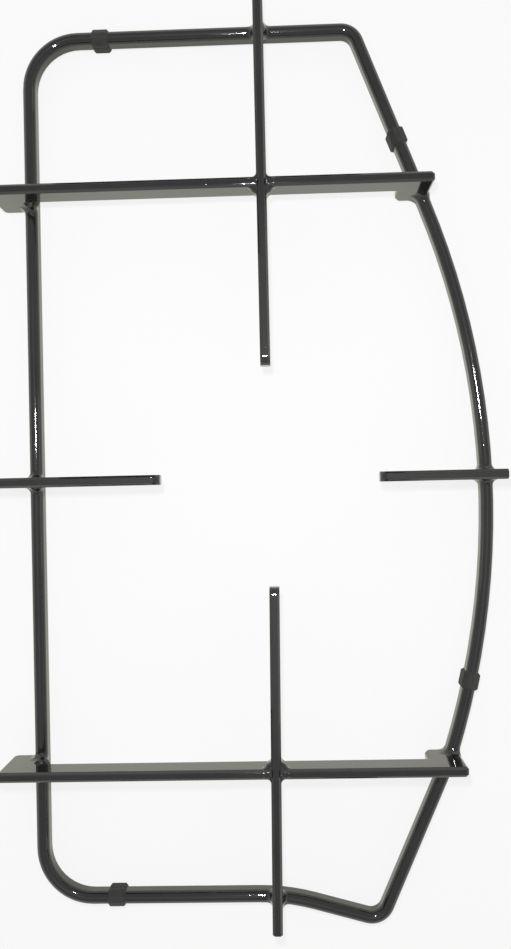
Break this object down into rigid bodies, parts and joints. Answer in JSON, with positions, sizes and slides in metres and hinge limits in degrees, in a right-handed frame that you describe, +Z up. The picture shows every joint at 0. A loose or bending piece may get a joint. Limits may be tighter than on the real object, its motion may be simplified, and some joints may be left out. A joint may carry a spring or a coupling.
{
  "type": "hob pan support",
  "caption": "Black enamelled pan support for a gas hob: bent rod ring with an arched side, cross bars, fingers pointing at the burner, and rubber feet.",
  "frame": {"origin": "under the middle of the part's box, on the hob's surface", "axes": "+X to the right seen from the front of the hob, +Y to the rear, +Z up"},
  "size_m": [0.2554, 0.471, 0.036],
  "materials": {
    "enamel": "gloss vitreous enamel",
    "rubber": "matt moulded"
  },
  "bodies": {
    "root": {"ring_rod": "enamel", "rear_cross_bar": "enamel", "front_cross_bar": "enamel", "rear_long_finger": "enamel", "front_long_finger": "enamel", "left_finger": "enamel", "right_finger": "enamel", "foot_rear_left": "rubber", "foot_front_left": "rubber", "foot_rear_right": "rubber", "foot_front_right": "rubber"}
  },
  "joints": []
}
